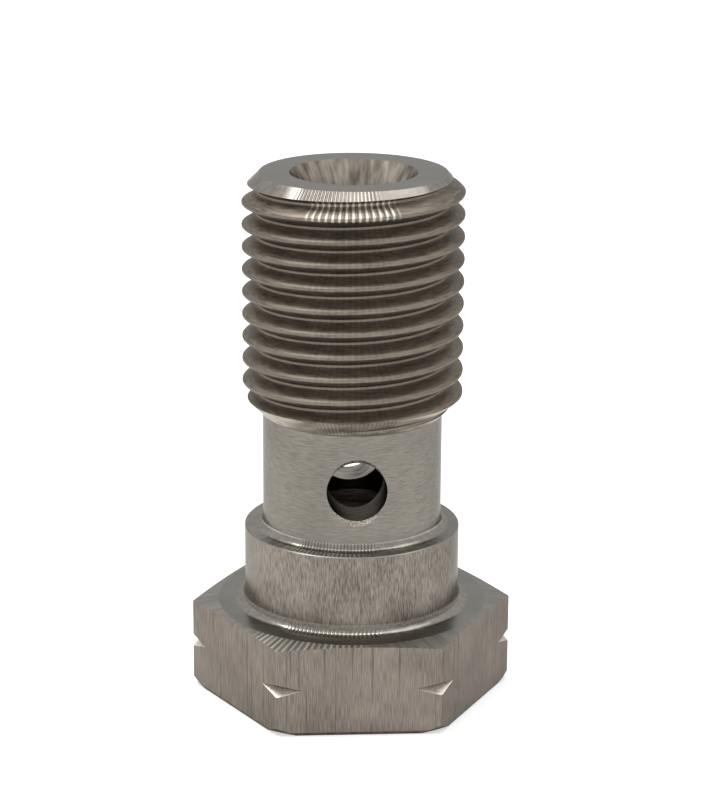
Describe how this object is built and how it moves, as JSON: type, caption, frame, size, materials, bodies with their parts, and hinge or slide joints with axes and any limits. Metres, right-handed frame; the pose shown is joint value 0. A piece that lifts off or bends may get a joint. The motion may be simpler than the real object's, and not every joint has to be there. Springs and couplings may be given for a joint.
{
  "type": "banjo bolt",
  "caption": "Hollow hexagon-head bolt with a cross hole in its plain shank, which feeds fluid from a threaded port through a banjo ring fitting.",
  "frame": {"origin": "centre of the foot of the head, the flat end face that the bolt stands on", "axes": "+Z along the bolt's axis from the head to the threaded end; a flat of the head and one mouth of the cross hole face -Y"},
  "size_m": [0.0192, 0.0166, 0.0317],
  "materials": {
    "stainless_steel": "stainless steel as turned: fine turning lines on the shank and collar, a bright faced seat, chatter marks on the chamfers, drawn flats on the head"
  },
  "bodies": {
    "root": {"banjo_bolt": "stainless_steel"}
  },
  "joints": []
}
